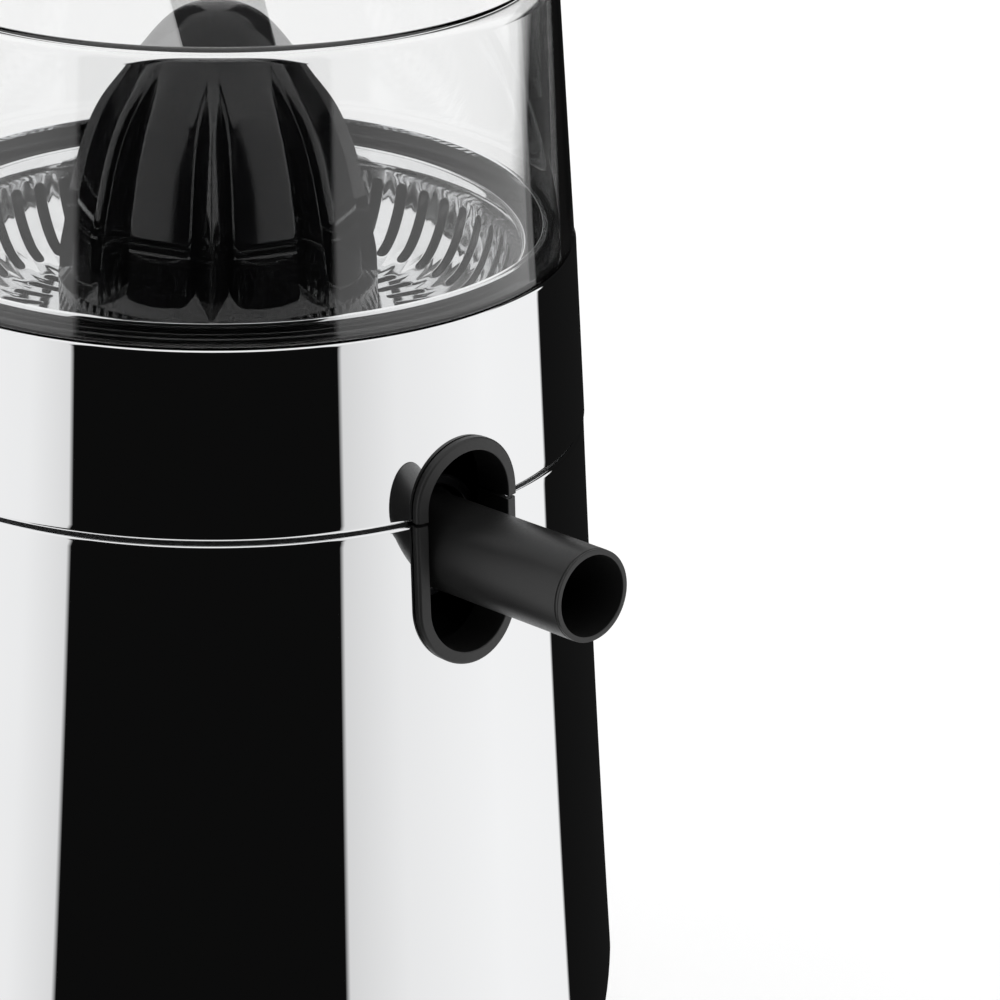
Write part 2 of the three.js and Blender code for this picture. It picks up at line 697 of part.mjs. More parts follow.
for (let i = 0; i < 3; i++) {
  const place = groupAt(0, 0, 0, THREE.MathUtils.degToRad(120 * i - 15));
  const body = join(rod(3, TRAY_TOP + 3 + GAP, TRAY_TOP + 5, 12), rod(1.2, TRAY_TOP - 10, TRAY_TOP + 4, 10));
  piece("gearbox_screw_" + (i + 1), body, "zinc", place).position.x = TRAY_R - 5.5;
}

// ---------------------------------------------------------------- press switch
function switchLever() {
  const arm = block(-3.5, 3.5, LEVER_PIVOT_Y, 5, LEVER_TOP - 2, LEVER_TOP);
  const eye = solid(
    new THREE.CylinderGeometry(2.6, 2.6, 7, 16).rotateZ(Math.PI / 2).translate(0, LEVER_PIVOT_Y, LEVER_TOP - 1),
  );
  const hole = solid(
    new THREE.CylinderGeometry(1.3, 1.3, 20, 12).rotateZ(Math.PI / 2).translate(0, LEVER_PIVOT_Y, LEVER_TOP - 1),
  );
  return cut(join(arm, eye), hole);
}

function leverBracket() {
  const z = LEVER_TOP - 1;
  const bridge = block(-7, 7, LEVER_PIVOT_Y - 3, LEVER_PIVOT_Y + 3, TRAY_FLOOR + GAP, TRAY_FLOOR + 3);
  const left = block(-7, -4, LEVER_PIVOT_Y - 3, LEVER_PIVOT_Y + 3, TRAY_FLOOR + 1, z + 3);
  const right = block(4, 7, LEVER_PIVOT_Y - 3, LEVER_PIVOT_Y + 3, TRAY_FLOOR + 1, z + 3);
  const pin = solid(
    new THREE.CylinderGeometry(1, 1, 12, 12).rotateZ(Math.PI / 2).translate(0, LEVER_PIVOT_Y, z),
  );
  return join(bridge, left, right, pin);
}

const PLUNGER_Y = -17;
piece("switch_lever", switchLever(), "zinc");
piece("lever_bracket", leverBracket(), "frame_plastic");
const switchCase = cut(
  block(-5, 5, -27, -8, TRAY_FLOOR + GAP, 70.4),
  block(-1.8, 1.8, PLUNGER_Y - 1.8, PLUNGER_Y + 1.8, 67, 75),
);
piece("micro_switch", switchCase, "gloss_black");
const plunger = block(-1.5, 1.5, PLUNGER_Y - 1.5, PLUNGER_Y + 1.5, 68.6, LEVER_TOP - 2 - GAP);
piece("switch_plunger", plunger, "switch_red");

// ---------------------------------------------------------------- motor
const motor = groupAt(MOTOR_X, MOTOR_Y);

function stator() {
  const shape = new THREE.Shape();
  const half = 28;
  const chamfer = 6;
  shape.moveTo(-half + chamfer, -half);
  shape.lineTo(half - chamfer, -half);
  shape.lineTo(half, -half + chamfer);
  shape.lineTo(half, half - chamfer);
  shape.lineTo(half - chamfer, half);
  shape.lineTo(-half + chamfer, half);
  shape.lineTo(-half, half - chamfer);
  shape.lineTo(-half, -half + chamfer);
  shape.closePath();
  const stack = solid(new THREE.ExtrudeGeometry(shape, { depth: 22, bevelEnabled: false }).translate(0, 0, 26));
  let cutStack = stack.subtract(rod(17, 20, 50, 48));
  for (const x of [-1, 1]) cutStack = cutStack.subtract(rod(2.3, 20, 50, 12).translate([23 * x, -23 * x, 0]));
  return cutStack;
}

function bracket(low, high, hole) {
  let plate = block(-27, 27, -27, 27, low, high).subtract(rod(hole, low - 5, high + 5, 24));
  for (const x of [-1, 1]) plate = plate.subtract(rod(2.3, low - 1, high + 1, 12).translate([23 * x, -23 * x, 0]));
  return plate;
}

function fan() {
  const blades = 8;
  let wheel = ring(3 + GAP, 6, 50, 56.5, 20);
  for (let i = 0; i < blades; i++) {
    wheel = wheel.add(block(5, 15.5, -0.6, 0.6, 50.5, 56).rotate([0, 0, (360 * i) / blades]));
  }
  return wheel;
}

piece("stator", stator(), "lamination", motor);
piece("winding_top", ring(18, 25, 48.4, 56.5, 24), "copper", motor);
piece("winding_bottom", ring(18, 25, 17.5, 25.6, 24), "copper", motor);
piece("motor_bracket_top", bracket(58.5, 61.5, 6.3), "zinc", motor);
piece("motor_bracket_bottom", bracket(12, 15, 6.3), "zinc", motor);
piece("rotor_bush_top", ring(3 + GAP, 6, 58, 63), "bronze", motor);
piece("rotor_bush_bottom", ring(3 + GAP, 6, 11, 16), "bronze", motor);
for (const [index, side] of [-1, 1].entries()) {
  const bolt = join(rod(2, 8.5, 61, 12), rod(3.6, 8.5, 11.5, 12));
  piece("motor_bolt_" + (index + 1), bolt, "zinc", motor).position.set(23 * side, -23 * side, 0);
}
piece("motor_shaft", rod(3, 8, 78, 20), "zinc", motor);
piece("rotor_core", ring(3 + GAP, 16.4, 26.5, 47.5, 32), "lamination", motor);
piece("cooling_fan", fan(), "nylon", motor);
const towardsIdler = degrees(MOTOR_ANGLE) + 180;
const pinionTurn = towardsIdler + toothStep(PINION_TEETH) / 2;
piece("motor_pinion", gear(PINION_TEETH, IN_MODULE, 3 + GAP, 68, 78).rotate([0, 0, pinionTurn]), "zinc", motor);

piece("run_capacitor", rod(14, 3, 48, 32), "switch_red").position.set(0, -48, 0);
piece("terminal_block", block(-14, 14, 66, 76, 4, 18), "nylon").position.set(40, -40, 0);

export default juicer;
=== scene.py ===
"""Citrus press juicer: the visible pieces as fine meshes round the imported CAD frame.

Lengths are millimetres in the part's frame until a mesh is made, and metres from there on. Heights of
the upper pieces are measured from the upper housing's rim, and depths go down from it.
"""

import json
import math

import bmesh
import bpy
import numpy as np
from mathutils import Matrix, Vector


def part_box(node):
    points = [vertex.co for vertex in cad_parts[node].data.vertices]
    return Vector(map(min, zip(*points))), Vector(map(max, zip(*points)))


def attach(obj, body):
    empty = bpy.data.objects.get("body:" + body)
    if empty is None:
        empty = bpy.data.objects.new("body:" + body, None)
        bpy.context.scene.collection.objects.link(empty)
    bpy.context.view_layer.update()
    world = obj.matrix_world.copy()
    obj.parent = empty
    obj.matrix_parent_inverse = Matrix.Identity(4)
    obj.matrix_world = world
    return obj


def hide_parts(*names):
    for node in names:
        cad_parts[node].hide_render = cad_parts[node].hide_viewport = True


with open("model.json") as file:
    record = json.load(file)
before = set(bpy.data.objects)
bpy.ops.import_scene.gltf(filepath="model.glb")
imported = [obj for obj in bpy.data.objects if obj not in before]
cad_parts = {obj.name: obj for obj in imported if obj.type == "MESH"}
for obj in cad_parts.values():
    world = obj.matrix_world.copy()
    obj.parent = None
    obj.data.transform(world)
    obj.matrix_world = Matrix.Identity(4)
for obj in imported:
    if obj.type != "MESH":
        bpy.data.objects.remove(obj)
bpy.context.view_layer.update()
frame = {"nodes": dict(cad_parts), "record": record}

MM = 0.001
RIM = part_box("upper_shell")[1].z / MM
SIDES = 240  # segments round a turned piece
SAME_PLACE = 2e-6  # metres; vertices closer than this are one

# Housing: radius by depth below the rim, as in the CAD source.
RIM_R = 84.75
UPPER_H = 44.35
UPPER_SLOPE = 0.067
SEAM_R = 87.5
SEAM_DEPTH = 45.3
FLARE = 0.0593
FLARE_CURVE = 0.000074
TUCK_DEPTH = 187.0
TUCK = 2.4
SHELL_BOTTOM = 208.5

SLOT_DEPTH = 54.4
SLOT_W = 12.2
SLOT_L = 24.0
SLOT_CENTRE = RIM - SLOT_DEPTH
SLOT_STRAIGHT = SLOT_L - SLOT_W

PIVOT = Vector((0.0, -70.0, RIM - 55.3))
SPOUT_TILT = math.radians(2.4)


# ---------------------------------------------------------------- outlines and meshes
def rounded(corners, closed=False, step=11.0):
    """A 2-D outline through (x, y, fillet) corners, with each corner turned into an arc of its fillet."""
    places = [np.array(c[:2], float) for c in corners]
    fillets = [c[2] if len(c) > 2 else 0.0 for c in corners]
    points = []
    for i, here in enumerate(places):
        if fillets[i] <= 0 or (not closed and i in (0, len(places) - 1)):
            points.append(here)
            continue
        before = places[i - 1] - here
        after = places[(i + 1) % len(places)] - here
        room = 0.49 * min(np.linalg.norm(before), np.linalg.norm(after))
        before /= np.linalg.norm(before)
        after /= np.linalg.norm(after)
        half = math.acos(np.clip(before @ after, -1, 1)) / 2
        reach = min(fillets[i] / math.tan(half), room)
        radius = reach * math.tan(half)
        middle = before + after
        centre = here + middle / np.linalg.norm(middle) * radius / math.sin(half)
        spoke = here + before * reach - centre
        last = here + after * reach - centre
        turn = math.copysign(math.pi - 2 * half, spoke[0] * last[1] - spoke[1] * last[0])
        steps = max(2, math.ceil(abs(math.degrees(turn)) / step))
        for k in range(steps + 1):
            c, s = math.cos(turn * k / steps), math.sin(turn * k / steps)
            points.append(centre + np.array((c * spoke[0] - s * spoke[1], s * spoke[0] + c * spoke[1])))
    return np.array(points)


def spline(points, count):
    """A smooth curve through 2-D points: a natural cubic spline over the chord length."""
    p = np.array(points, float)
    t = np.concatenate([[0], np.cumsum(np.linalg.norm(np.diff(p, axis=0), axis=1))])
    h = np.diff(t)
    n = len(p)
    a = np.eye(n)
    b = np.zeros((n, 2))
    for i in range(1, n - 1):
        a[i, i - 1 : i + 2] = h[i - 1], 2 * (h[i - 1] + h[i]), h[i]
        b[i] = 6 * ((p[i + 1] - p[i]) / h[i] - (p[i] - p[i - 1]) / h[i - 1])
    m = np.linalg.solve(a, b)
    u = np.linspace(0, t[-1], count)
    k = np.clip(np.searchsorted(t, u, side="right") - 1, 0, n - 2)
    f = ((u - t[k]) / h[k])[:, None]
    hk = h[k][:, None]
    bend = ((1 - f) ** 3 - (1 - f)) * m[k] + (f**3 - f) * m[k + 1]
    return (1 - f) * p[k] + f * p[k + 1] + bend * hk**2 / 6


def grid_faces(rows, columns, wrap_rows, wrap_columns):
    i, j = np.meshgrid(
        np.arange(rows if wrap_rows else rows - 1),
        np.arange(columns if wrap_columns else columns - 1),
        indexing="ij",
    )
    down, along = (i + 1) % rows, (j + 1) % columns
    quads = [i * columns + j, i * columns + along, down * columns + along, down * columns + j]
    return np.stack(quads, -1).reshape(-1, 4)


def turned(profile, closed=True, segments=SIDES, lift=RIM):
    """A profile of (radius, height) turned round the Z axis. Its heights start from `lift`."""
    profile = np.asarray(profile, float)
    turn = np.arange(segments) * 2 * np.pi / segments
    r, z = profile[:, :1], profile[:, 1:] + lift
    verts = np.stack([r * np.cos(turn), r * np.sin(turn), z + 0 * turn], -1).reshape(-1, 3)
    return verts, grid_faces(len(profile), segments, closed, True)


def moved(shape, matrix):
    verts, faces = shape
    m = np.array(matrix)
    return verts @ m[:3, :3].T + m[:3, 3], faces


def piece(name, shapes, body, slot, replaces=(), closed=True, sharp=30):
    """One object made of several (vertices, faces) shapes, riding on a CAD body, in its slot's finish."""
    verts, faces, base = [], [], 0
    for shape_verts, shape_faces in shapes:
        verts.append(np.asarray(shape_verts, float))
        faces.extend([base + int(k) for k in face] for face in shape_faces)
        base += len(shape_verts)
    mesh = bpy.data.meshes.new(name)
    mesh.from_pydata((np.vstack(verts) * MM).tolist(), [], faces)
    bm = bmesh.new()
    bm.from_mesh(mesh)
    bmesh.ops.remove_doubles(bm, verts=bm.verts, dist=SAME_PLACE)
    if closed:
        bmesh.ops.recalc_face_normals(bm, faces=bm.faces)
    bm.to_mesh(mesh)
    bm.free()
    made = bpy.data.objects.new(name, mesh)
    bpy.context.scene.collection.objects.link(made)
    mesh.materials.append(finishes[slot])
    crisp(made, sharp)
    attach(made, body)
    if replaces:
        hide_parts(*replaces)
    return made


def crisp(made, sharp):
    """Smooth shading, except over edges sharper than `sharp` degrees."""
    made.data.shade_smooth()
    made.data.set_sharp_from_angle(angle=math.radians(sharp))


def settle(made, sharp=30):
    """Applies the object's modifiers."""
    graph = bpy.context.evaluated_depsgraph_get()
    made.data = bpy.data.meshes.new_from_object(made.evaluated_get(graph))
    made.modifiers.clear()
    crisp(made, sharp)


def thicken(made, thickness, bevel=0.0, sharp=30):
    """Gives an open sheet its thickness behind its face, and softens the cut edges."""
    solid = made.modifiers.new("sheet", "SOLIDIFY")
    solid.thickness = thickness * MM
    solid.offset = -1
    if bevel:
        edge = made.modifiers.new("edge", "BEVEL")
        edge.width = bevel * MM
        edge.segments = 2
        edge.limit_method = "ANGLE"
        edge.angle_limit = math.radians(50)
    settle(made, sharp)


def even_shading(made):
    """Lets the large faces set the shading beside small fillets."""
    made.modifiers.new("even_shading", "WEIGHTED_NORMAL").keep_sharp = True


# ---------------------------------------------------------------- materials
BAND = 0.314  # the wave texture's scale for one band per metre


class Finish:
    """A Principled material with a few procedural details in the object's own coordinates."""

    def __init__(self, name, colour, roughness, metallic=0.0, **sockets):
        self.material = bpy.data.materials.new(name)
        self.material.use_nodes = True
        self.nodes = self.material.node_tree.nodes
        self.links = self.material.node_tree.links
        self.shader = self.nodes["Principled BSDF"]
        self.shader.inputs["Base Color"].default_value = (*colour, 1)
        self.shader.inputs["Roughness"].default_value = roughness
        self.shader.inputs["Metallic"].default_value = metallic
        for socket, value in sockets.items():
            self.shader.inputs[socket.replace("_", " ")].default_value = value
        self.material.diffuse_color = (*colour, 1)
        self.colour = colour
        self.roughness = roughness
        self.place = self.nodes.new("ShaderNodeTexCoord").outputs["Object"]

    def noise(self, scale, detail=3.0, stretch=(1, 1, 1)):
        mapping = self.nodes.new("ShaderNodeMapping")
        mapping.inputs["Scale"].default_value = stretch
        self.links.new(self.place, mapping.inputs["Vector"])
        texture = self.nodes.new("ShaderNodeTexNoise")
        texture.inputs["Scale"].default_value = scale
        texture.inputs["Detail"].default_value = detail
        self.links.new(mapping.outputs["Vector"], texture.inputs["Vector"])
        return texture.outputs["Fac"]

    def spread(self, value, low, high, source_low=0.35, source_high=0.65):
        span = self.nodes.new("ShaderNodeMapRange")
        span.inputs["From Min"].default_value = source_low
        span.inputs["From Max"].default_value = source_high
        span.inputs["To Min"].default_value = low
        span.inputs["To Max"].default_value = high
        self.links.new(value, span.inputs["Value"])
        return span.outputs["Result"]

    def vary_colour(self, value, by):
        """Lets the colour go from (1 - by) to (1 + by) times its mean with `value`."""
        ramp = self.nodes.new("ShaderNodeValToRGB")
        ramp.color_ramp.elements[0].position = 0.3
        ramp.color_ramp.elements[1].position = 0.7
        ramp.color_ramp.elements[0].color = (*[c * (1 - by) for c in self.colour], 1)
        ramp.color_ramp.elements[1].color = (*[min(1.0, c * (1 + by)) for c in self.colour], 1)
        self.links.new(value, ramp.inputs["Fac"])
        self.links.new(ramp.outputs["Color"], self.shader.inputs["Base Color"])
        return self

    def vary_roughness(self, value, by):
        changed = self.spread(value, self.roughness - by, self.roughness + by)
        self.links.new(changed, self.shader.inputs["Roughness"])
        return self

    def bump(self, value, strength, distance):
        node = self.nodes.new("ShaderNodeBump")
        node.inputs["Strength"].default_value = strength
        node.inputs["Distance"].default_value = distance * MM
        self.links.new(value, node.inputs["Height"])
        last = self.shader.inputs["Normal"].links
        if last:
            self.links.new(last[0].from_socket, node.inputs["Normal"])
        self.links.new(node.outputs["Normal"], self.shader.inputs["Normal"])
        return self


def grey(value):
    return (value, value, value)


def polished_steel():
    """Mirror-polished sheet: faint haze left by the polishing wheel along the housing's round."""
    f = Finish("polished_steel", (0.905, 0.91, 0.918), 0.01, 1.0)
    f.vary_colour(f.noise(18, 2), 0.006)
    return f.vary_roughness(f.noise(60, 4, (1, 1, 12)), 0.005).material


def sieve_steel():
    """Pressed sheet, polished: slightly wavy between the slots."""
    f = Finish("sieve_steel", (0.83, 0.835, 0.84), 0.07, 1.0)
    f.vary_colour(f.noise(120, 3), 0.03)
    f.vary_roughness(f.noise(320, 4), 0.03)
    return f.bump(f.noise(150, 2), 0.25, 0.25).material


def glossy_black(name, roughness, wave):
    """Moulded glossy plastic: a slight shrinkage wave and fine surface haze."""
    f = Finish(name, (0.010, 0.010, 0.011), roughness, 0.0, IOR=1.5)
    f.vary_colour(f.noise(40, 3), 0.15)
    f.vary_roughness(f.noise(700, 5), roughness * 0.25)
    return f.bump(f.noise(45, 2), wave, 0.2).material


def satin_black(name, colour, roughness):
    """Moulded satin plastic with a spark-eroded grain."""
    f = Finish(name, colour, roughness, 0.0, IOR=1.5)
    f.vary_colour(f.noise(90, 4), 0.12)
    f.vary_roughness(f.noise(1500, 4), 0.05)
    return f.bump(f.noise(4200, 3), 0.16, 0.06).material


def lid_clear():
    """Clear moulded plastic: a faint neutral tint that wanders a little through the wall."""
    f = Finish("lid_clear", (0.992, 0.994, 0.994), 0.0, 0.0, IOR=1.56)
    f.shader.inputs["Transmission Weight"].default_value = 1.0
    return f.vary_colour(f.noise(12, 2), 0.004).material


def rough_part(name, colour, roughness, metallic, scale, by=0.12, grain=0.15, depth=0.05):
    """A plain working part: colour, roughness and relief follow one grain."""
    f = Finish(name, colour, roughness, metallic)
    f.vary_colour(f.noise(scale, 5), by)
    f.vary_roughness(f.noise(scale * 2.3, 4), min(0.08, roughness * 0.3))
    return f.bump(f.noise(scale * 4, 3), grain, depth).material


def banded(name, colour, roughness, metallic, axis, pitch, depth, by):
    """Stacked sheets or wound wire: fine bands along one axis."""
    f = Finish(name, colour, roughness, metallic)
    wave = f.nodes.new("ShaderNodeTexWave")
    wave.bands_direction = axis
    wave.inputs["Scale"].default_value = BAND / (pitch * MM)
    wave.inputs["Distortion"].default_value = 0.25
    wave.inputs["Detail"].default_value = 1.0
    f.links.new(f.place, wave.inputs["Vector"])
    f.vary_colour(wave.outputs["Fac"], by)
    f.vary_roughness(f.noise(500, 3), 0.06)
    return f.bump(wave.outputs["Fac"], 0.6, depth).material


finishes = {
    "polished_steel": polished_steel(),
    "sieve_steel": sieve_steel(),
    "bowl_black": glossy_black("bowl_black", 0.16, 0.12),
    "cone_black": glossy_black("cone_black", 0.07, 0.06),
    "spout_black": satin_black("spout_black", grey(0.014), 0.36),
    "trim_black": satin_black("trim_black", grey(0.016), 0.40),
    "lid_clear": lid_clear(),
    "frame_plastic": rough_part("frame_plastic", grey(0.045), 0.55, 0.0, 600),
    "rubber": rough_part("rubber", grey(0.022), 0.75, 0.0, 900, 0.2, 0.3, 0.08),
    "zinc_steel": rough_part("zinc_steel", (0.55, 0.56, 0.58), 0.33, 1.0, 350, 0.1, 0.1, 0.03),
    "lamination": banded("lamination", grey(0.22), 0.45, 1.0, "Z", 0.5, 0.08, 0.35),
    "copper_wire": banded("copper_wire", (0.55, 0.23, 0.10), 0.32, 1.0, "Z", 0.9, 0.25, 0.3),
    "bronze": rough_part("bronze", (0.42, 0.27, 0.12), 0.42, 1.0, 1200, 0.2, 0.25, 0.04),
    "nylon": rough_part("nylon", (0.72, 0.68, 0.56), 0.42, 0.0, 300, 0.05, 0.08, 0.03),
    "red_plastic": rough_part("red_plastic", (0.28, 0.02, 0.015), 0.4, 0.0, 400, 0.1, 0.08, 0.03),
}


# ---------------------------------------------------------------- housing
SHEET = 0.8
FOLD = 0.9  # radius of the sheet's folds
TRIM_SEAT = 1.7  # the sheet's cut stays this far outside the slot, behind the trim
COARSE, MEDIUM, FINE = 2.8, 2.3, 0.85  # heights of the wall's mesh rows, fine beside the slot


def housing_radius(depth):
    """Outer radius at a depth below the rim."""
    depth = np.asarray(depth, float)
    t = np.minimum(depth, TUCK_DEPTH) - SEAM_DEPTH
    below = np.maximum(depth - TUCK_DEPTH, 0) / (SHELL_BOTTOM - TUCK_DEPTH)
    lower = SEAM_R + FLARE * t + FLARE_CURVE * t * t - TUCK * below**2.2
    return np.where(depth < SEAM_DEPTH, RIM_R + UPPER_SLOPE * depth, lower)


def wall(depths):
    """The wall's outline through some depths."""
    return [(float(housing_radius(d)), -float(d)) for d in depths]


def open_slot(shape, grow):
    """Cuts the spout's slot through a housing sheet and brings the cut's edge onto the slot's outline."""
    verts, quads = shape
    x, y, z = verts.T.copy()
    over = z - SLOT_CENTRE
    near = np.clip(over, -SLOT_STRAIGHT, SLOT_STRAIGHT)
    reach = np.hypot(x, over - near)
    inside = (reach - SLOT_W - grow)[quads].mean(1) < 0
    cut = inside & (y[quads] < 0).all(1)
    kept = quads[~cut]
    edge = np.intersect1d(quads[cut], kept)
    scale = (SLOT_W + grow) / reach[edge]
    new_x = x[edge] * scale
    new_z = SLOT_CENTRE + near[edge] + (over - near)[edge] * scale
    radius = np.hypot(x[edge], y[edge])
    radius += housing_radius(RIM - new_z) - housing_radius(RIM - z[edge])
    verts[edge] = np.stack([new_x, -np.sqrt(radius**2 - new_x**2), new_z], -1)
    return verts, kept


def housing(name, corners, cad_node):
    """Half of the housing: a sheet with the slot cut out of it."""
    sheet = open_slot(turned(rounded(corners), closed=False, segments=3 * SIDES), TRIM_SEAT)
    made = piece(name, [sheet], "base", "polished_steel", [cad_node], closed=False)
    thicken(made, SHEET)
    even_shading(made)


LIP_R = 84.6  # inner edge of the flanges that meet at the seam
housing(
    "lower_housing",
    [
        (93.6, -SHELL_BOTTOM),
        (95.0, -SHELL_BOTTOM, FOLD),
        *wall([*np.arange(206.3, 86, -COARSE), *np.arange(85, 47.4, -FINE)]),
        (SEAM_R, -SEAM_DEPTH, FOLD),
        (LIP_R, -SEAM_DEPTH),
    ],
    "lower_shell",
)
housing(
    "upper_housing",
    [
        (LIP_R, -UPPER_H),
        (float(housing_radius(UPPER_H)), -UPPER_H, FOLD),
        *wall([*np.arange(42.3, 26, -FINE), *np.arange(25.6, 1.8, -MEDIUM)]),
        (RIM_R, 0, FOLD),
        (80.7, 0),
    ],
    "upper_shell",
)


def slot_trim(name, upper, cad_node):
    """Half of the slot's trim: one closed section swept round half of the slot, ending flat at the seam."""
    side = 1 if upper else -1
    seam = RIM - (UPPER_H if upper else SEAM_DEPTH)
    turn_z = SLOT_CENTRE + side * SLOT_STRAIGHT
    leg = np.linspace(seam, turn_z, 6 if upper else 26)[:-1]
    arc = np.linspace(0, np.pi, 65)
    path = [(SLOT_W, z, 1.0, 0.0) for z in leg]
    for a in arc:
        out_x, out_z = math.cos(a), side * math.sin(a)
        path.append((SLOT_W * out_x, turn_z + SLOT_W * out_z, out_x, out_z))
    path += [(-SLOT_W, z, -1.0, 0.0) for z in leg[::-1]]
    path = np.array(path)
    section = rounded(
        [(0, -8.2), (0, 2, 0.35), (3, 2, 0.7), (3, 0.3), (1.5, 0.3), (1.5, -8.2)],
        closed=True,
    )
    out, proud = section[:, 0], section[:, 1]
    x = path[:, :1] + out * path[:, 2:3]
    z = path[:, 1:2] + out * path[:, 3:4]
    radius = housing_radius(RIM - z) + proud
    verts = np.stack([x, -np.sqrt(radius**2 - x**2), z], -1).reshape(-1, 3)
    count = len(section)
    faces = [list(q) for q in grid_faces(len(path), count, False, True)]
    faces += [list(range(count)), [len(verts) - 1 - k for k in range(count)]]
    made = piece(name, [(verts, faces)], "base", "trim_black", [cad_node])
    even_shading(made)


slot_trim("upper_slot_trim", True, "upper_trim")
slot_trim("lower_slot_trim", False, "lower_trim")


# ---------------------------------------------------------------- bowl and spout
COLLAR_R = 78.4
COLLAR_INNER_R = 77.1
COLLAR_TOP = 3.2
HOOP_TOP = 4.24
LEDGE = -2.2  # the strainer's rim rests here
LEDGE_R = 73.5
BOWL_FLOOR = -62
CHIMNEY_TOP = -2
OUTLET_R = 15.2
OUTLET_BORE = 12.6


def along_spout(tilt):
    """Takes the Z axis to the spout's axis, from the pivot outwards."""
    return Matrix.Translation(PIVOT) @ Matrix.Rotation(math.pi / 2 - tilt, 4, "X")


def bowl():
    """The bowl with its collar, chimney and outlet, and the bright hoop on the collar."""
    profile = rounded(
        [
            (81.2, 0.3, 0.2),
            (81.2, 1.6, 0.5),
            (COLLAR_R, 1.7, 0.3),
            (COLLAR_R, COLLAR_TOP, 0.1),
            (COLLAR_INNER_R, COLLAR_TOP, 0.1),
            (COLLAR_INNER_R, LEDGE, 0.4),
            (LEDGE_R, LEDGE, 0.4),
            (LEDGE_R, -4.0, 0.5),
            (76.2, -8, 1.5),
            (56, -40, 6),
            (53, BOWL_FLOOR, 4),
            (14, BOWL_FLOOR, 2),
            (14, CHIMNEY_TOP, 0.8),
            (12, CHIMNEY_TOP, 0.8),
            (12, -64, 1),
            (55, -64, 5),
            (58, -40, 6),
            (78.2, -8, 2),
            (79, 0.3, 0.2),
        ],
        closed=True,
    )
    tube = rounded(
        [
            (OUTLET_BORE, -23),
            (OUTLET_BORE, 5.5, 0.5),
            (OUTLET_R, 5.5, 0.7),
            (OUTLET_R, -28, 1),
            (0.2, -28),
            (0.2, -23),
        ],
        closed=True,
    )
    outlet = moved(turned(tube, segments=96, lift=0), along_spout(0))
    cad_nodes = ["juice_bowl", "bowl_funnel", "bowl_floor", "bowl_collar", "bowl_chimney", "bowl_outlet"]
    made = piece("juice_bowl_fine", [turned(profile), outlet], "base", "bowl_black", cad_nodes)
    even_shading(made)
    hoop_r = COLLAR_INNER_R + 0.02
    foot_of_hoop = [(hoop_r, COLLAR_TOP), (COLLAR_R, COLLAR_TOP, 0.4)]
    top_of_hoop = [(COLLAR_R, HOOP_TOP, 0.12), (hoop_r, HOOP_TOP, 0.12)]
    hoop = rounded([*foot_of_hoop, *top_of_hoop], closed=True, step=8)
    piece("collar_bead", [turned(hoop)], "base", "polished_steel", ["collar_hoop"])


bowl()


def spout():
    """The spout: a tube that widens to a ball at its back, with a pin at each side of the ball."""
    bore, wall_r, ball, length, back = 9.45, 10.8, 12.2, 59.55, -7.6
    neck = math.sqrt(ball**2 - wall_r**2)
    round_ball = [(math.sqrt(ball**2 - u * u), u) for u in np.linspace(back, neck, 14)]
    corners = [
        (bore, back, 0.2),
        *round_ball,
        (wall_r, 12),
        (wall_r, 35),
        (wall_r, length - 0.95, 0.12),
        (wall_r - 0.22, length - 0.86, 0.08),
        (wall_r - 0.22, length - 0.66, 0.08),
        (wall_r - 0.04, length - 0.56, 0.12),
        (wall_r - 0.04, length, 0.16),
        (bore, length, 0.2),
    ]
    tube = turned(rounded(corners, closed=True), segments=128, lift=0)
    pin = rounded([(0.01, 9.6), (2.5, 9.6), (2.5, 14.8, 0.5), (0.01, 14.8)])
    shapes = [moved(tube, along_spout(SPOUT_TILT))]
    for side in (1, -1):
        turn = Matrix.Translation(PIVOT) @ Matrix.Rotation(side * math.pi / 2, 4, "Y")
        shapes.append(moved(turned(pin, closed=False, segments=48, lift=0), turn))
    made = piece("juice_spout", shapes, "spout", "spout_black", ["spout"])
    even_shading(made)


spout()


# ---------------------------------------------------------------- strainer
SLOTS = 58
COLUMNS = 12  # mesh columns per slot pitch
PITCH = 2 * math.pi / SLOTS
STRAINER_FLOOR = -26.2
FLOOR_SLOT = (46.5, 57.0, 1.3)  # first and last radius, half width
WALL_SLOT = (61.8, 71.3, 1.6)
FLAT = 1.5  # plain sheet before the first slot's band
BRIM = 1.2  # plain sheet after the last slot, inside its band
RIM_BEAD = (73.1, -1.45)
RIM_BEAD_R = (0.48, 0.45)


